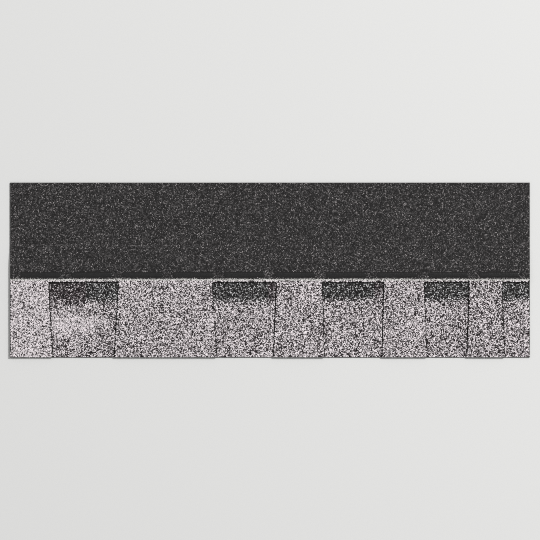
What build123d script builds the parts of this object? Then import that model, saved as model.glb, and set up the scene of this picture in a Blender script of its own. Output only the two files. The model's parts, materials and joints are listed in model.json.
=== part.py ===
"""One laminated asphalt shingle, lying face up on a level floor.

The shingle is two plies of granule-coated asphalt felt. The upper ply is full height, and its
lower part is die cut into flared teeth. The backer ply is a plain strip glued under the teeth,
so that it shows between them. Above the cut-outs, over the strip where the two plies are bonded,
a row of soft asphalt beads seals down the course that is laid over it. A release film on the
underside keeps those beads from sticking in the pack.

The frame: origin at the middle of the footprint on the floor, X along the shingle, +Y from the
butt edge (the tips of the teeth) to the headlap, +Z up. Millimetres.
"""

import os

from build123d import *

os.makedirs("parts", exist_ok=True)

# The sheet as it is sold
shingle_length = 1000.0
shingle_height = 336.5
upper_ply_thickness = 2.4
backer_thickness = 2.4

# The part that the weather sees, and how far above it the cut-outs run
exposure = 143.0
cutout_rise = 2.0

# The teeth and the cut-outs between them, from the left end, as wide as they are at the root.
# After the last tooth the cut-out runs out of the right end.
tooth_widths = (73.0, 179.0, 87.0, 76.0, 62.0)
cutout_widths = (136.0, 125.0, 120.0, 88.0)
# How much the tooth on each cut-out's left, and the one on its right, widens into it by the tip
left_flares = (8.5, 9.0, 4.5, 6.0, 5.5)
right_flares = (8.5, 6.5, 4.5, 5.0)
root_corner_radius = 3.0
cut_overrun = 5.0  # how far the cuts run past the sheet, so that its edges stay clean

# The bonded strip above the cut-outs: room for the nails, then the row of sealing beads
nail_zone_height = 9.0
bead_width = 10.0
bead_to_backer_edge = 2.0
bead_length = 78.0
bead_gap = 20.0
bead_end_margin = 12.0  # least distance from a bead to an end of the shingle
bead_thickness = 0.8
bead_edge_share = 0.75  # how much of a bead's thickness its rounded edge takes

# How far past the backer's edge the upper ply comes down to the floor
drape_length = 60.0

# The release film under the headlap
film_clearance = 1.5  # between the backer's edge and the film
film_width = 22.0
film_thickness = 0.1

# Places that follow from the sizes
butt_y = -shingle_height / 2
top_y = shingle_height / 2
left_x = -shingle_length / 2
right_x = shingle_length / 2
cutout_top_y = butt_y + exposure + cutout_rise
bead_bottom_y = cutout_top_y + nail_zone_height
backer_top_y = bead_bottom_y + bead_width + bead_to_backer_edge
drape_end_y = backer_top_y + drape_length
film_bottom_y = backer_top_y + film_clearance
face_z = backer_thickness + upper_ply_thickness


def cutouts():
    """The corners of each cut-out: lower left, lower right, upper right, upper left."""
    depth = exposure + cutout_rise
    lean_past_butt = (depth + cut_overrun) / depth
    rest_of_sheet = shingle_length - sum(tooth_widths) - sum(cutout_widths)
    widths = (*cutout_widths, rest_of_sheet + cut_overrun)
    outlines = []
    left = left_x
    for tooth, width, left_flare, right_flare in zip(
        tooth_widths, widths, left_flares, (*right_flares, 0.0)
    ):
        left += tooth
        right = left + width
        low_left = (left + left_flare * lean_past_butt, butt_y - cut_overrun)
        low_right = (right - right_flare * lean_past_butt, butt_y - cut_overrun)
        outlines.append([low_left, low_right, (right, cutout_top_y), (left, cutout_top_y)])
        left = right
    return outlines


def drape(drop=0.0):
    """The underside of the upper ply, seen from its end: level on the backer, then down to the
    floor in two arcs, then level on the floor. The whole line is lowered by drop."""
    backer_edge = (backer_top_y, backer_thickness - drop)
    halfway = (backer_top_y + drape_length / 2, backer_thickness / 2 - drop)
    level = Line((butt_y, backer_thickness - drop), backer_edge)
    over = TangentArc(backer_edge, halfway, tangent=level % 1)
    under = TangentArc(halfway, (drape_end_y, -drop), tangent=over % 1)
    floor = Line((drape_end_y, -drop), (top_y, -drop))
    return level, floor


def fill_between(lower, upper):
    """Fills the area between two such lines, one above the other."""
    Line(lower[0] @ 0, upper[0] @ 0)
    Line(lower[-1] @ 1, upper[-1] @ 1)


# The upper ply: one full-height sheet, cut into teeth below the nailing zone
with BuildPart() as tooth_ply:
    with BuildSketch(Plane.YZ.offset(left_x)):
        with BuildLine():
            fill_between(drape(), drape(-upper_ply_thickness))
        make_face()
    extrude(amount=shingle_length)
    with BuildSketch(Plane.XY.offset(backer_thickness)) as die:
        for corners in cutouts():
            with BuildLine():
                Polyline(*corners, close=True)
            make_face()
        roots = die.vertices().group_by(Axis.Y)[-1]
        fillet(roots.filter_by(lambda corner: corner.X < right_x), root_corner_radius)
    extrude(amount=upper_ply_thickness, mode=Mode.SUBTRACT)
tooth_ply.part.label = "tooth_ply"
export_step(tooth_ply.part, "parts/tooth_ply.step")

# The backer: a plain strip, flush with the tips of the teeth and with both ends
backer_height = backer_top_y - butt_y
with BuildPart() as backer_ply:
    with BuildSketch():
        with Locations((0, butt_y + backer_height / 2)):
            Rectangle(shingle_length, backer_height)
    extrude(amount=backer_thickness)
backer_ply.part.label = "backer_ply"
export_step(backer_ply.part, "parts/backer_ply.step")

# The sealing beads: flat asphalt dashes with round ends and soft upper edges
bead_pitch = bead_length + bead_gap
bead_count = int((shingle_length - 2 * bead_end_margin + bead_gap) // bead_pitch)
with BuildPart() as seal_beads:
    with BuildSketch(Plane.XY.offset(face_z)):
        with Locations((0, bead_bottom_y + bead_width / 2)):
            with GridLocations(bead_pitch, 0, bead_count, 1):
                SlotOverall(bead_length, bead_width)
    extrude(amount=bead_thickness)
    upper_edges = seal_beads.edges().group_by(Axis.Z)[-1]
    fillet(upper_edges, bead_edge_share * bead_thickness)
seal_beads.part.label = "seal_beads"
export_step(seal_beads.part, "parts/seal_beads.step")

# The release film: a strip of thin film on the underside, just above the backer
with BuildPart() as release_film:
    with BuildSketch(Plane.YZ.offset(left_x)):
        with BuildLine():
            fill_between(drape(film_thickness), drape())
        make_face()
        with Locations((film_bottom_y + film_width / 2, 0)):
            Rectangle(film_width, 2 * face_z, mode=Mode.INTERSECT)
    extrude(amount=shingle_length)
release_film.part.label = "release_film"
export_step(release_film.part, "parts/release_film.step")
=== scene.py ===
"""A laminated asphalt shingle, lying face up on a pale floor and seen from straight above."""

import json
import math
import random

import bmesh
import bpy
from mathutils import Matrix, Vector, noise

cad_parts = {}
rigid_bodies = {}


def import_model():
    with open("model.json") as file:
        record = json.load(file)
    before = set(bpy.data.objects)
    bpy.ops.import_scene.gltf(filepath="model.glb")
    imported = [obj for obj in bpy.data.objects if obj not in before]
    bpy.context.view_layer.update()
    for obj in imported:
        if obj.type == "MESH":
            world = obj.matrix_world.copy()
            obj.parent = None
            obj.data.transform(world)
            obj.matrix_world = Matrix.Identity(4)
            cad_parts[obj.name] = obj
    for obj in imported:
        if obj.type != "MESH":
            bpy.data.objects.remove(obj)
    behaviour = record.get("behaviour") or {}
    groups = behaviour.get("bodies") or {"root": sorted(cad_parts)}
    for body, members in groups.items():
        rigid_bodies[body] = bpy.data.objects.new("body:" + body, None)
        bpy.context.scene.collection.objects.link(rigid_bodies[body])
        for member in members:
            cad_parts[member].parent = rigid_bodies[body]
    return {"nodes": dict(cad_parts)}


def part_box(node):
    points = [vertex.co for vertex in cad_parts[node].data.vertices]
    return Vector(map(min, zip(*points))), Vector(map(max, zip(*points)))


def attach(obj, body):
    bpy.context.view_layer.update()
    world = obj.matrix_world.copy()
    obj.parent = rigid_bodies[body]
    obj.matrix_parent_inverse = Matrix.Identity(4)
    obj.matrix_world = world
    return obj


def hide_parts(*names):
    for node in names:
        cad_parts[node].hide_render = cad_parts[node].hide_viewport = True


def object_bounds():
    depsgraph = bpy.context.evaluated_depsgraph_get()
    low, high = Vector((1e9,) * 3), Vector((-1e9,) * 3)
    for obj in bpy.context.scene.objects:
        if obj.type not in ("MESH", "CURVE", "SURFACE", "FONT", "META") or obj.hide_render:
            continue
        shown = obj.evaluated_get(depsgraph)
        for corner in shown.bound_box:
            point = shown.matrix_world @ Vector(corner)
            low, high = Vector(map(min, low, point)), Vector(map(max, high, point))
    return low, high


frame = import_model()
cad_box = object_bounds()

# The stand: a pale floor, even light from all round with a large soft lamp beyond the headlap,
# and a long lens straight above, which is how a roof reads when it is looked at square on.
# The lamp stands off to the right, so that each tooth throws a short shadow to its left.
floor_colour = (0.74, 0.74, 0.73, 1.0)
floor_roughness = 0.9
floor_size = 40.0
sky_colour = (1.0, 1.0, 1.0, 1.0)
sky_strength = 0.43
lamp_place = Vector((6.9, 5.25, 8.25))
lamp_size = 2.7
lamp_power = 1225.0
camera_height = 6.0
camera_reach = 100.0
sensor_width = 36.0  # in millimetres
view_width = 1.04
pixel_blur = 1.0  # a wider one would blur the granules, and so would denoising

scene = bpy.context.scene
scene.view_settings.view_transform = "Standard"
scene.cycles.use_denoising = False
scene.cycles.filter_width = pixel_blur

bm = bmesh.new()
bmesh.ops.create_grid(bm, x_segments=1, y_segments=1, size=floor_size / 2)
floor_mesh = bpy.data.meshes.new("floor")
bm.to_mesh(floor_mesh)
bm.free()
floor = bpy.data.objects.new("floor", floor_mesh)
scene.collection.objects.link(floor)
floor_paint = bpy.data.materials.new("floor paint")
floor_paint.use_nodes = True
floor_shader = floor_paint.node_tree.nodes["Principled BSDF"]
floor_shader.inputs["Base Color"].default_value = floor_colour
floor_shader.inputs["Roughness"].default_value = floor_roughness
floor_mesh.materials.append(floor_paint)

sky = bpy.data.worlds.new("sky")
sky.use_nodes = True
sky_light = sky.node_tree.nodes["Background"]
sky_light.inputs["Strength"].default_value = sky_strength
sky_light.inputs["Color"].default_value = sky_colour
scene.world = sky

lamp_data = bpy.data.lights.new("softbox", "AREA")
lamp_data.shape = "DISK"
lamp_data.size = lamp_size
lamp_data.energy = lamp_power
lamp = bpy.data.objects.new("softbox", lamp_data)
lamp.location = lamp_place
lamp.rotation_euler = (-lamp_place).to_track_quat("-Z", "Y").to_euler()
scene.collection.objects.link(lamp)

camera_data = bpy.data.cameras.new("camera")
camera_data.sensor_width = sensor_width
camera_data.lens = sensor_width * camera_height / view_width
camera_data.clip_end = camera_reach
camera = bpy.data.objects.new("camera", camera_data)
camera.location = (0.0, 0.0, camera_height)
scene.collection.objects.link(camera)
scene.camera = camera

# The two plies: glass mat soaked and coated with black filled asphalt, dusted with fine sand on
# the back and die cut, so that the mat shows as a thin pale line along the middle of each edge.
# Their CAD shapes stay, and the granules are laid on them.
ply_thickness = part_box("backer_ply")[1].z
drape_start_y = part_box("backer_ply")[1].y
drape_length = 0.060
asphalt_black = (0.012, 0.0115, 0.012, 1.0)
asphalt_worn = (0.03, 0.028, 0.027, 1.0)
asphalt_lumps = 260.0  # the scale of a noise
asphalt_detail = 4.0
mat_fibre = (0.16, 0.145, 0.115, 1.0)
mat_line = 0.00028  # half of the mat's thickness, on average
fibre_lumps = 900.0
fibre_detail = 2.0
sand_pale = (0.17, 0.158, 0.14, 1.0)
sand_dark = (0.018, 0.0175, 0.0175, 1.0)
sand_grains = 1300.0
sand_patches = 14.0
sand_patch_detail = 3.0
dark_sand_share = (0.45, 0.62)  # from patch to patch
usual_noise = (0.35, 0.65)  # most of a noise lies between these
level_enough = 0.5  # the upright part of a normal, past which a face counts as level
felt_relief = 0.0003
felt_relief_strength = 0.6
felt_roughness = 0.7
felt_gloss = 0.12


def feed(tree, socket, value):
    """Links an input to another node's output, or gives it a number, vector or colour."""
    if isinstance(value, bpy.types.NodeSocket):
        tree.links.new(value, socket)
    else:
        socket.default_value = value


def worked_out(tree, operation, *values, kind="ShaderNodeMath"):
    """The result of one operation on numbers or on vectors."""
    node = tree.nodes.new(kind)
    node.operation = operation
    for socket, value in zip(node.inputs, values):
        feed(tree, socket, value)
    return node.outputs[0]


def rescaled(tree, value, old, new, smooth=False):
    """A value taken from an old range to a new one, and held within it."""
    node = tree.nodes.new("ShaderNodeMapRange")
    node.interpolation_type = "SMOOTHSTEP" if smooth else "LINEAR"
    feed(tree, node.inputs["Value"], value)
    node.inputs["From Min"].default_value, node.inputs["From Max"].default_value = old
    node.inputs["To Min"].default_value, node.inputs["To Max"].default_value = new
    return node.outputs["Result"]


def between(tree, share, first, second, kind="RGBA"):
    """Part of the way from one colour, number or vector to another."""
    node = tree.nodes.new("ShaderNodeMix")
    node.data_type = kind
    feed(tree, node.inputs["Factor"], share)
    feed(tree, node.inputs["A"], first)
    feed(tree, node.inputs["B"], second)
    return node.outputs["Result"]


def lumps(tree, scale, detail):
    """A noise that is fixed to the piece."""
    place = tree.nodes.new("ShaderNodeTexCoord")
    node = tree.nodes.new("ShaderNodeTexNoise")
    node.inputs["Scale"].default_value = scale
    node.inputs["Detail"].default_value = detail
    tree.links.new(place.outputs["Object"], node.inputs["Vector"])
    return node.outputs["Fac"]


def raise_surface(tree, height, distance, strength):
    """Gives a material's shader a relief."""
    node = tree.nodes.new("ShaderNodeBump")
    node.inputs["Distance"].default_value = distance
    node.inputs["Strength"].default_value = strength
    tree.links.new(height, node.inputs["Height"])
    tree.links.new(node.outputs["Normal"], tree.nodes["Principled BSDF"].inputs["Normal"])


def coated_felt(name, laid_over):
    """Black asphalt above, the glass mat along the cut edges and sand below. laid_over is the
    height of what the ply lies on, before it comes down to the floor."""
    felt = bpy.data.materials.new(name)
    felt.use_nodes = True
    tree = felt.node_tree
    shader = tree.nodes["Principled BSDF"]
    place = tree.nodes.new("ShaderNodeTexCoord")
    axes = tree.nodes.new("ShaderNodeSeparateXYZ")
    tree.links.new(place.outputs["Object"], axes.inputs["Vector"])
    facing = tree.nodes.new("ShaderNodeNewGeometry")
    lean = tree.nodes.new("ShaderNodeSeparateXYZ")
    tree.links.new(facing.outputs["True Normal"], lean.inputs["Vector"])

    clumps = lumps(tree, asphalt_lumps, asphalt_detail)
    bare = between(tree, clumps, asphalt_black, asphalt_worn)

    # The mat shows on a cut edge, as far from the middle of the ply as its torn fibres reach
    middle = rescaled(
        tree,
        axes.outputs["Y"],
        (drape_start_y, drape_start_y + drape_length),
        (laid_over + ply_thickness / 2, ply_thickness / 2),
        smooth=True,
    )
    above_middle = worked_out(tree, "SUBTRACT", axes.outputs["Z"], middle)
    off_middle = worked_out(tree, "ABSOLUTE", above_middle)
    reach = worked_out(tree, "MULTIPLY", lumps(tree, fibre_lumps, fibre_detail), 2 * mat_line)
    on_mat = worked_out(tree, "LESS_THAN", off_middle, reach)
    steepness = worked_out(tree, "ABSOLUTE", lean.outputs["Z"])
    on_edge = worked_out(tree, "LESS_THAN", steepness, level_enough)
    mat_shows = worked_out(tree, "MULTIPLY", on_mat, on_edge)
    coated = between(tree, mat_shows, bare, mat_fibre)

    # Sand on the back: pale and dark grains, with more of the dark in patches
    grains = tree.nodes.new("ShaderNodeTexVoronoi")
    grains.inputs["Scale"].default_value = sand_grains
    tree.links.new(place.outputs["Object"], grains.inputs["Vector"])
    grain = tree.nodes.new("ShaderNodeSeparateColor")
    tree.links.new(grains.outputs["Color"], grain.inputs["Color"])
    patches = lumps(tree, sand_patches, sand_patch_detail)
    dark_share = rescaled(tree, patches, usual_noise, dark_sand_share)
    is_pale = worked_out(tree, "GREATER_THAN", grain.outputs["Red"], dark_share)
    sand = between(tree, is_pale, sand_dark, sand_pale)
    on_back = worked_out(tree, "LESS_THAN", lean.outputs["Z"], -level_enough)
    tree.links.new(between(tree, on_back, coated, sand), shader.inputs["Base Color"])

    height = between(tree, on_back, clumps, grain.outputs["Green"], kind="FLOAT")
    raise_surface(tree, height, felt_relief, felt_relief_strength)
    shader.inputs["Roughness"].default_value = felt_roughness
    shader.inputs["Specular IOR Level"].default_value = felt_gloss
    return felt


for node, laid_over in (("tooth_ply", ply_thickness), ("backer_ply", 0.0)):
    ply = frame["nodes"][node]
    ply.data.materials.clear()
    ply.data.materials.append(coated_felt(node + " felt", laid_over))

# The granules: crushed rock with a fired colour coat, 1.5 to 3 mm across, dropped in blends and
# rolled into the hot asphalt. They are scattered over a bed, a copy of a ply's face painted with
# how dark the blend is there. A die cut leaves them flush with the sheet's edges.
granule_sides = (4, 4, 3, 5, 4, 4)
granule_width = 0.00278
granule_height = 0.0011
granule_taper = 0.68  # how wide a granule's top is, against its foot
rough_corner = 0.12  # how far a corner may be off, as a share of the granule's size
chipped_top = 0.30  # how far down a corner of the top may be chipped, of the height
least_size = (0.8, 0.7, 0.7)  # times the shape's own length, width and height
greatest_size = (1.3, 1.15, 1.1)
grade = (0.93, 1.11)  # the pale rock is crushed a little coarser than the dark
granule_tilt = 0.32
granule_stand = 0.00005  # height of a granule's middle above the asphalt
granule_roughness = 0.8
granule_gloss = 0.1
density_tried = 1.1e7  # places tried per square metre, of which those far enough apart stay
# This unevenness also makes the painted shade strip along each tooth's flank ragged.
uneven_keep_off = (0.5, 1.5)  # they keep off a cut edge unevenly, by this much of their clearance
keep_off_lumps = 55.0
tint_spread = 0.25  # how much of a granule's tint is chance
map_patch = 0.02  # share of the colour map that one granule covers
box_margin = 0.00005
same_corner = 1e-6  # corners of a ply's triangles this near are one
tone_seed, tint_seed, turn_seed, size_seed, shape_seed = range(11, 16)
chip_maker = random.Random(3)

chips = bpy.data.collections.new("granule shapes")
for sides in granule_sides:
    bm = bmesh.new()
    bm.loops.layers.uv.new("OFBake")
    bmesh.ops.create_cone(
        bm,
        segments=sides,
        radius1=0.5,
        radius2=0.5 * granule_taper,
        depth=1.0,
        cap_ends=True,
        calc_uvs=True,
    )
    for corner in bm.verts:
        if corner.co.z > 0.0:
            corner.co.z -= chip_maker.uniform(0.0, chipped_top)
        corner.co += Vector(chip_maker.uniform(-rough_corner, rough_corner) for _ in range(3))
    bmesh.ops.triangulate(bm, faces=bm.faces[:])
    bmesh.ops.scale(bm, verts=bm.verts, vec=(granule_width, granule_width, granule_height))
    mesh = bpy.data.meshes.new("granule shape")
    bm.to_mesh(mesh)
    bm.free()
    chips.objects.link(bpy.data.objects.new("granule shape", mesh))


def drawn(tree, seed, least=0.0, greatest=1.0, kind="FLOAT"):
    """A value that each granule gets by chance."""
    node = tree.nodes.new("FunctionNodeRandomValue")
    node.data_type = kind
    node.inputs["Min"].default_value = least
    node.inputs["Max"].default_value = greatest
    node.inputs["Seed"].default_value = seed
    return node.outputs["Value"]


def read(tree, name, kind="FLOAT"):
    """What the bed, or a granule, holds under a name."""
    node = tree.nodes.new("GeometryNodeInputNamedAttribute")
    node.data_type = kind
    node.inputs["Name"].default_value = name
    return node.outputs["Attribute"]


def store(tree, geometry, name, value, kind="FLOAT", domain="POINT"):
    """The granules, holding a value under a name."""
    node = tree.nodes.new("GeometryNodeStoreNamedAttribute")
    node.data_type = kind
    node.domain = domain
    node.inputs["Name"].default_value = name
    tree.links.new(geometry, node.inputs["Geometry"])
    tree.links.new(value, node.inputs["Value"])
    return node.outputs["Geometry"]


def scatter_tree():
    """Geometry nodes that scatter the granules over a bed. Each granule gets a tone, from black
    to near white, and a tint, and its own patch of a colour map."""
    tree = bpy.data.node_groups.new("granule scatter", "GeometryNodeTree")
    for name, kind in (
        ("Bed", "Geometry"),
        ("Spacing", "Float"),
        ("Seed", "Int"),
        ("Keep Off", "Object"),
        ("Clearance", "Float"),
    ):
        tree.interface.new_socket(name, in_out="INPUT", socket_type="NodeSocket" + kind)
    tree.interface.new_socket("Granules", in_out="OUTPUT", socket_type="NodeSocketGeometry")
    nodes, links = tree.nodes, tree.links
    bed = nodes.new("NodeGroupInput")
    laid = nodes.new("NodeGroupOutput")

    # Places for the granules, clear of the piece that they keep off. Beside a tooth's flank this
    # leaves a bare black strip of asphalt, as painted shade.
    points = nodes.new("GeometryNodeDistributePointsOnFaces")
    points.distribute_method = "POISSON"
    points.inputs["Density Max"].default_value = density_tried
    links.new(bed.outputs["Bed"], points.inputs["Mesh"])
    links.new(bed.outputs["Spacing"], points.inputs["Distance Min"])
    links.new(bed.outputs["Seed"], points.inputs["Seed"])
    obstacle = nodes.new("GeometryNodeObjectInfo")
    links.new(bed.outputs["Keep Off"], obstacle.inputs["Object"])
    nearest = nodes.new("GeometryNodeProximity")
    links.new(obstacle.outputs["Geometry"], nearest.inputs["Geometry"])
    keep_off_noise = nodes.new("ShaderNodeTexNoise")
    keep_off_noise.inputs["Scale"].default_value = keep_off_lumps
    keep_off_share = rescaled(tree, keep_off_noise.outputs["Fac"], usual_noise, uneven_keep_off)
    too_near = nodes.new("FunctionNodeCompare")
    too_near.operation = "LESS_THAN"
    links.new(nearest.outputs["Distance"], too_near.inputs["A"])
    kept_off = worked_out(tree, "MULTIPLY", bed.outputs["Clearance"], keep_off_share)
    links.new(kept_off, too_near.inputs["B"])
    clear = nodes.new("GeometryNodeDeleteGeometry")
    links.new(points.outputs["Points"], clear.inputs["Geometry"])
    links.new(too_near.outputs["Result"], clear.inputs["Selection"])

    # Their tones and tints
    darker = worked_out(tree, "POWER", drawn(tree, tone_seed), read(tree, "darkness"))
    tone = worked_out(tree, "MULTIPLY", darker, read(tree, "lightest"))
    chance = drawn(tree, tint_seed)
    tint = between(tree, tint_spread, read(tree, "warmth"), chance, kind="FLOAT")
    with_tone = store(tree, clear.outputs["Geometry"], "tone", tone)
    with_tint = store(tree, with_tone, "tint", tint)

    # The granules themselves, each turned and tilted as it fell
    shapes = nodes.new("GeometryNodeCollectionInfo")
    shapes.inputs["Collection"].default_value = chips
    shapes.inputs["Separate Children"].default_value = True
    turn = drawn(
        tree,
        turn_seed,
        (-granule_tilt, -granule_tilt, 0.0),
        (granule_tilt, granule_tilt, 2 * math.pi),
        kind="FLOAT_VECTOR",
    )
    which = drawn(tree, shape_seed, 0, len(granule_sides) - 1, kind="INT")
    size = drawn(tree, size_seed, least_size, greatest_size, kind="FLOAT_VECTOR")
    coarseness = rescaled(tree, tone, (0.0, 1.0), grade)
    graded = worked_out(tree, "MULTIPLY", size, coarseness, kind="ShaderNodeVectorMath")
    drop = nodes.new("GeometryNodeInstanceOnPoints")
    drop.inputs["Pick Instance"].default_value = True
    links.new(with_tint, drop.inputs["Points"])
    links.new(shapes.outputs["Instances"], drop.inputs["Instance"])
    links.new(which, drop.inputs["Instance Index"])
    links.new(turn, drop.inputs["Rotation"])
    links.new(graded, drop.inputs["Scale"])
    real = nodes.new("GeometryNodeRealizeInstances")
    links.new(drop.outputs["Instances"], real.inputs["Geometry"])

    # The die cuts the granules flush with the sheet
    place = nodes.new("GeometryNodeInputPosition").outputs["Position"]
    lowest, highest = cad_box
    for kept_side, corner, margin in (
        ("MAXIMUM", lowest, box_margin),
        ("MINIMUM", highest, -box_margin),
    ):
        limit = [side + margin for side in corner]
        place = worked_out(tree, kept_side, place, limit, kind="ShaderNodeVectorMath")
    cut = nodes.new("GeometryNodeSetPosition")
    links.new(real.outputs["Geometry"], cut.inputs["Geometry"])
    links.new(place, cut.inputs["Position"])

    # Each granule's patch of the colour map lies where its tone and tint do
    spot = nodes.new("ShaderNodeCombineXYZ")
    links.new(read(tree, "tone"), spot.inputs["X"])
    links.new(read(tree, "tint"), spot.inputs["Y"])
    own_map = read(tree, "OFBake", kind="FLOAT_VECTOR")
    patch = between(tree, map_patch, spot.outputs["Vector"], own_map, kind="VECTOR")
    mapped = store(tree, cut.outputs["Geometry"], "OFBake", patch, kind="FLOAT2", domain="CORNER")
    links.new(mapped, laid.inputs["Granules"])
    return tree


scatter = scatter_tree()


def granule_coat(name, colours):
    """A fired coat whose colour goes by the granule's tone, and is greyer the lower its tint."""
    coat = bpy.data.materials.new(name)
    coat.use_nodes = True
    tree = coat.node_tree
    shader = tree.nodes["Principled BSDF"]
    tone = tree.nodes.new("ShaderNodeAttribute")
    tone.attribute_name = "tone"
    fired = tree.nodes.new("ShaderNodeValToRGB")
    stops = fired.color_ramp.elements
    stops[0].position, stops[0].color = colours[0]
    stops[1].position, stops[1].color = colours[-1]
    for position, colour in colours[1:-1]:
        stops.new(position).color = colour
    tree.links.new(tone.outputs["Fac"], fired.inputs["Fac"])
    grey = tree.nodes.new("ShaderNodeRGBToBW")
    tree.links.new(fired.outputs["Color"], grey.inputs["Color"])
    tint = tree.nodes.new("ShaderNodeAttribute")
    tint.attribute_name = "tint"
    tinted = between(tree, tint.outputs["Fac"], grey.outputs["Val"], fired.outputs["Color"])
    tree.links.new(tinted, shader.inputs["Base Color"])
    shader.inputs["Roughness"].default_value = granule_roughness
    shader.inputs["Specular IOR Level"].default_value = granule_gloss
    return coat


def bed_from(node, low, high, rim, cell, blend_at):
    """A copy of a node's upward faces between two corners, without a rim along the cut edges,
    divided into cells. It is painted with what blend_at gives for a point: how dark the blend
    is there, as a power, the tone of its lightest granule, and how warm its colour is."""
    bm = bmesh.new()
    bm.from_mesh(frame["nodes"][node].data)
    bmesh.ops.remove_doubles(bm, verts=bm.verts, dist=same_corner)
    bm.normal_update()
    hidden = [face for face in bm.faces if face.normal.z < level_enough]
    bmesh.ops.delete(bm, geom=hidden, context="FACES")
    edge = bmesh.ops.inset_region(
        bm, faces=bm.faces[:], thickness=rim, use_boundary=True, use_even_offset=True
    )
    bmesh.ops.delete(bm, geom=edge["faces"], context="FACES")
    for axis in (0, 1):
        cuts = math.ceil((high[axis] - low[axis]) / cell)
        for n in range(cuts + 1):
            point, across = Vector(), Vector()
            point[axis] = low[axis] + (high[axis] - low[axis]) * n / cuts
            across[axis] = 1.0
            bmesh.ops.bisect_plane(
                bm,
                geom=bm.verts[:] + bm.edges[:] + bm.faces[:],
                plane_co=point,
                plane_no=across,
                clear_inner=n == 0,
                clear_outer=n == cuts,
            )
    layers = [bm.verts.layers.float.new(name) for name in ("darkness", "lightest", "warmth")]
    for vertex in bm.verts:
        for layer, value in zip(layers, blend_at(vertex.co)):
            vertex[layer] = value
        vertex.co.z += granule_stand
    mesh = bpy.data.meshes.new("bed")
    bm.to_mesh(mesh)
    bm.free()
    return mesh


def lay_granules(name, bed, spacing, seed, keep_off, clearance, coat):
    """Scatters granules over a bed, clear of another piece, and keeps them as one piece."""
    maker = bpy.data.objects.new(name + " bed", bed)
    scene.collection.objects.link(maker)
    modifier = maker.modifiers.new("scatter", "NODES")
    modifier.node_group = scatter
    settings = {
        "Spacing": spacing,
        "Seed": seed,
        "Keep Off": frame["nodes"][keep_off],
        "Clearance": clearance,
    }
    for socket in scatter.interface.items_tree:
        if socket.name in settings:
            modifier[socket.identifier] = settings[socket.name]
    bpy.context.view_layer.update()
    laid = maker.evaluated_get(bpy.context.evaluated_depsgraph_get())
    mesh = bpy.data.meshes.new_from_object(laid)
    bpy.data.objects.remove(maker)
    mesh.materials.clear()
    mesh.materials.append(coat)
    piece = bpy.data.objects.new(name, mesh)
    scene.collection.objects.link(piece)
    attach(piece, "root")


# The blend on the teeth: near white and grey rock with charcoal and black between, slightly
# pink. It is dropped in patches that change at the middle of each cut-out, so each tooth has a
# tone of its own, and the first is the lightest.
left_x, butt_y = cad_box[0].x, cad_box[0].y
right_x, top_y = cad_box[1].x, cad_box[1].y
blend_top_y = butt_y + 0.148
blend_colours = (
    (0.0, (0.0105, 0.0068, 0.0080, 1.0)),
    (0.12, (0.0357, 0.0268, 0.0296, 1.0)),
    (0.30, (0.096, 0.079, 0.084, 1.0)),
    (0.35, (0.208, 0.179, 0.188, 1.0)),
    (0.50, (0.442, 0.399, 0.412, 1.0)),
    (0.55, (0.788, 0.727, 0.746, 1.0)),
    (1.0, (0.972, 0.901, 0.923, 1.0)),
)
blend_coat = granule_coat("blend granules", blend_colours)
blend_spacing = 0.00145
blend_cell = 0.010
drop_ends = (0.141, 0.450, 0.660, 0.840, 1.0)  # from the left end
drop_darkness = (0.64, 0.95, 0.99, 0.93, 1.20)
drift = 0.14  # how far the darkness drifts, as the drops overlap unevenly
drift_lumps = 24.0
drift_level = 4.2  # the level of the noise that is used
# The teeth's granules stop this far short of the ply's cut edges. The bare black rim is partly
# asphalt that the die cut strips and partly painted shade along the flanks and the butt.
tooth_rim = 0.00105
bead_clearance = granule_width / 2


def drifted(point):
    """A factor near 1 that drifts over the sheet."""
    place = Vector((point.x * drift_lumps, point.y * drift_lumps, drift_level))
    return math.exp(drift * noise.noise(place))


drop_start = 0.0
for n, (drop_end, dark) in enumerate(zip(drop_ends, drop_darkness)):
    tooth_bed = bed_from(
        "tooth_ply",
        (left_x + drop_start, butt_y),
        (left_x + drop_end, blend_top_y),
        tooth_rim,
        blend_cell,
        lambda point: (dark * drifted(point), 1.0, 1.0),
    )
    lay_granules(
        f"tooth_granules_{n + 1}",
        tooth_bed,
        blend_spacing,
        n,
        "seal_beads",
        bead_clearance,
        blend_coat,
    )
    drop_start = drop_end

# The backer's granules, the same blend, show between the teeth. A band without the pale ones
# along the top of each cut-out looks like the shadow of a thicker course, and blends out below.
# A pale cloud lies in the first cut-out.
exposed_top_y = butt_y + 0.143
cutout_top_y = butt_y + 0.145
recess_ends = (0.300, 0.550, 0.750, 0.910, 1.0)  # from the left end, under the teeth
recess_darkness = (1.17, 1.04, 1.05, 1.11, 1.11)
recess_cell = 0.004
recess_seed = 10
band_depths = (0.028, 0.0275, 0.0255, 0.0275, 0.0255)
band_blends = (0.014, 0.012, 0.011, 0.012, 0.012)
band_darkness = (1.82, 1.75, 1.98, 1.88, 1.88)
band_lightest = 0.62
ragged = 0.004  # how far the band's lower edge strays
ragged_lumps = 60.0
ragged_level = 1.7
warm_parts = ((0.073, 0.146), (0.498, 0.513), (0.699, 0.720))  # brownish, as drops run over
cloud_place = (0.110, 0.081)  # from the left end, and down from the top of the exposed part
cloud_reach = (0.073, 0.024)
cloud_lightness = 0.64
cloud_edge = 4  # a power; the higher, the sharper the cloud ends
# Along the backer's butt and ends its granules stop this far short. The bare black rim is partly
# stripped by the die cut and partly painted shade.
backer_rim = 0.0012
# The backer's granules keep off the tooth ply by this much. This clears them from under the teeth
# and leaves a bare black strip of asphalt along each flank, as painted shade.
flank_shade_gap = 0.0012


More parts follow.
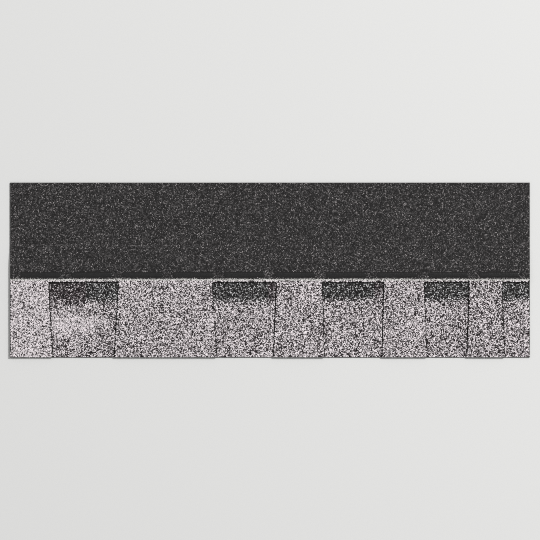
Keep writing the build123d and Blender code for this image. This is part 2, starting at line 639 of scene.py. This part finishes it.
def recess_blend(point, n):
    """How dark the blend is in a cut-out, the tone of its lightest granule, and its warmth."""
    along, down = point.x - left_x, exposed_top_y - point.y
    from_cloud = Vector(
        ((along - cloud_place[0]) / cloud_reach[0], (down - cloud_place[1]) / cloud_reach[1])
    )
    cloud = 1.0 - cloud_lightness * math.exp(-(from_cloud.length**cloud_edge))
    dark = recess_darkness[n] * drifted(point) * cloud
    stray = ragged * noise.noise(Vector((point.x * ragged_lumps, 0.0, ragged_level)))
    below = min(max((down + stray - band_depths[n]) / band_blends[n], 0.0), 1.0)
    warm = any(start <= along <= end for start, end in warm_parts)
    return (
        band_darkness[n] + (dark - band_darkness[n]) * below,
        band_lightest + (1.0 - band_lightest) * below,
        1.0 if warm else below,
    )


recess_start = 0.0
for n, recess_end in enumerate(recess_ends):
    recess_bed = bed_from(
        "backer_ply",
        (left_x + recess_start, butt_y),
        (left_x + recess_end, cutout_top_y),
        backer_rim,
        recess_cell,
        lambda point: recess_blend(point, n),
    )
    lay_granules(
        f"recess_granules_{n + 1}",
        recess_bed,
        blend_spacing,
        recess_seed + n,
        "tooth_ply",
        flank_shade_gap,
        blend_coat,
    )
    recess_start = recess_end

# The nail line: a stripe of white road paint, rolled on over the granules above the cut-outs,
# so that the roofer can see where a nail goes through both plies.
paint_colours = (
    (0.0, (0.195, 0.188, 0.181, 1.0)),
    (0.12, (0.535, 0.522, 0.495, 1.0)),
    (1.0, (0.795, 0.782, 0.752, 1.0)),
)
paint_coat = granule_coat("nail line paint", paint_colours)
paint_width = 0.003
paint_top_y = blend_top_y + paint_width
paint_cell = 0.1
paint_seed = 20
paint_bed = bed_from(
    "tooth_ply",
    (left_x, blend_top_y),
    (right_x, paint_top_y),
    tooth_rim,
    paint_cell,
    lambda point: (1.0, 1.0, 1.0),
)
lay_granules(
    "nail_line",
    paint_bed,
    blend_spacing,
    paint_seed,
    "seal_beads",
    bead_clearance,
    paint_coat,
)

# The headlap, which the next courses cover, has plain charcoal granules. They are laid in
# panels, so that no mesh gets too large.
headlap_colours = (
    (0.0, (0.018, 0.0174, 0.0177, 1.0)),
    (0.55, (0.075, 0.0712, 0.0718, 1.0)),
    (0.9, (0.15, 0.142, 0.142, 1.0)),
    (1.0, (0.34, 0.315, 0.313, 1.0)),
)
headlap_coat = granule_coat("headlap granules", headlap_colours)
headlap_spacing = 0.00195
headlap_clearance = 0.0006
headlap_seed = 21
panel_ends = (butt_y + 0.215, butt_y + 0.278, top_y)
panel_start = paint_top_y
for n, panel_end in enumerate(panel_ends):
    headlap_bed = bed_from(
        "tooth_ply",
        (left_x, panel_start),
        (right_x, panel_end),
        tooth_rim,
        blend_cell,
        lambda point: (drifted(point), 1.0, 1.0),
    )
    lay_granules(
        f"headlap_granules_{n + 1}",
        headlap_bed,
        headlap_spacing,
        headlap_seed + n,
        "seal_beads",
        headlap_clearance,
        headlap_coat,
    )
    panel_start = panel_end

for shape in list(chips.objects):
    bpy.data.objects.remove(shape)
bpy.data.collections.remove(chips)

# The sealing beads: dashes of soft asphalt, run hot onto the granules from a wheel, so that
# each is domed, a little uneven and narrower at its tail. They stick to the next course.
beads_low, beads_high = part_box("seal_beads")
bead_count = 10
bead_gap = 0.020
bead_length = (beads_high.x - beads_low.x - (bead_count - 1) * bead_gap) / bead_count
bead_width = beads_high.y - beads_low.y
bead_thickness = beads_high.z - beads_low.z
bead_segments, bead_rings = 24, 14
bead_dome = 0.6  # a power; the lower, the flatter the top and the steeper its sides
bead_cut = 0.004  # length of the pieces that the unevenness moves
head_width = 0.88  # of the full width
tail_loss = 0.12  # how much narrower the tail is
side_stray = 0.12
side_lumps = 130.0
side_level = 0.5
top_height = 0.84  # of the full height
top_stray = 0.16
top_lumps = 170.0
top_level = 6.0
bead_black = (0.005, 0.005, 0.0053, 1.0)
bead_dust = (0.014, 0.0135, 0.013, 1.0)
skin_lumps = 420.0
skin_detail = 5.0
skin_noise = (0.3, 0.7)
skin_roughness = (0.18, 0.42)
skin_relief = 0.0003
skin_relief_strength = 0.5

beads = bmesh.new()
for n in range(bead_count):
    middle = beads_low.x + bead_length / 2 + n * (bead_length + bead_gap)
    made = bmesh.ops.create_uvsphere(
        beads, u_segments=bead_segments, v_segments=bead_rings, radius=1.0
    )["verts"]
    for vertex in made:
        dome = max(vertex.co.z, 0.0) ** bead_dome
        stretch = math.copysign((bead_length - bead_width) / 2, vertex.co.x)
        vertex.co.x = middle + vertex.co.x * bead_width / 2 + stretch
        vertex.co.y = vertex.co.y * bead_width / 2
        vertex.co.z = dome * bead_thickness
for n in range(1, round((beads_high.x - beads_low.x) / bead_cut)):
    bmesh.ops.bisect_plane(
        beads,
        geom=beads.verts[:] + beads.edges[:] + beads.faces[:],
        plane_co=(beads_low.x + n * bead_cut, 0, 0),
        plane_no=(1, 0, 0),
    )
for vertex in beads.verts:
    along = (vertex.co.x - beads_low.x) % (bead_length + bead_gap) / bead_length
    side = math.copysign(1.0, vertex.co.y)
    uneven = noise.noise(Vector((vertex.co.x * side_lumps, side, side_level)))
    sunk = noise.noise(Vector((vertex.co.x * top_lumps, vertex.co.y * top_lumps, top_level)))
    vertex.co.y *= head_width - tail_loss * along + side_stray * uneven
    vertex.co.z *= top_height + top_stray * sunk
    vertex.co.y += (beads_low.y + beads_high.y) / 2
    vertex.co.z += beads_low.z
tallest = max(vertex.co.z for vertex in beads.verts)
for vertex in beads.verts:
    vertex.co.z = beads_low.z + (vertex.co.z - beads_low.z) * bead_thickness / (
        tallest - beads_low.z
    )
for face in beads.faces:
    face.smooth = True
bead_mesh = bpy.data.meshes.new("sealing_beads")
beads.to_mesh(bead_mesh)
beads.free()

bead_asphalt = bpy.data.materials.new("bead asphalt")
bead_asphalt.use_nodes = True
bead_tree = bead_asphalt.node_tree
bead_shader = bead_tree.nodes["Principled BSDF"]
bead_skin = lumps(bead_tree, skin_lumps, skin_detail)
dusty = between(bead_tree, bead_skin, bead_black, bead_dust)
bead_tree.links.new(dusty, bead_shader.inputs["Base Color"])
dull = rescaled(bead_tree, bead_skin, skin_noise, skin_roughness)
bead_tree.links.new(dull, bead_shader.inputs["Roughness"])
raise_surface(bead_tree, bead_skin, skin_relief, skin_relief_strength)
bead_mesh.materials.append(bead_asphalt)
sealing_beads = bpy.data.objects.new("sealing_beads", bead_mesh)
scene.collection.objects.link(sealing_beads)
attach(sealing_beads, "root")
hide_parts("seal_beads")

# The release film: a strip of thin clear polyester, stuck to the warm back above the backer. It
# puckers a little across, and keeps the beads of the next shingle in the pack from sticking.
film_tone = (0.72, 0.74, 0.75, 1.0)
film_cover = 0.2  # how much of the sand behind it the film hides
film_roughness = 0.14
pucker_lumps = (60.0, 14.0, 14.0)
pucker_detail = 3.0
pucker_relief = 0.0012
pucker_strength = 0.5
film = bpy.data.materials.new("release film")
film.use_nodes = True
film_tree = film.node_tree
film_shader = film_tree.nodes["Principled BSDF"]
film_shader.inputs["Base Color"].default_value = film_tone
film_shader.inputs["Roughness"].default_value = film_roughness
film_shader.inputs["Alpha"].default_value = film_cover
film_place = film_tree.nodes.new("ShaderNodeTexCoord")
film_run = film_tree.nodes.new("ShaderNodeMapping")
film_run.inputs["Scale"].default_value = pucker_lumps
film_tree.links.new(film_place.outputs["Object"], film_run.inputs["Vector"])
film_pucker = film_tree.nodes.new("ShaderNodeTexNoise")
film_pucker.inputs["Scale"].default_value = 1.0  # the mapping has scaled it
film_pucker.inputs["Detail"].default_value = pucker_detail
film_tree.links.new(film_run.outputs["Vector"], film_pucker.inputs["Vector"])
raise_surface(film_tree, film_pucker.outputs["Fac"], pucker_relief, pucker_strength)
film_strip = frame["nodes"]["release_film"]
film_strip.data.materials.clear()
film_strip.data.materials.append(film)
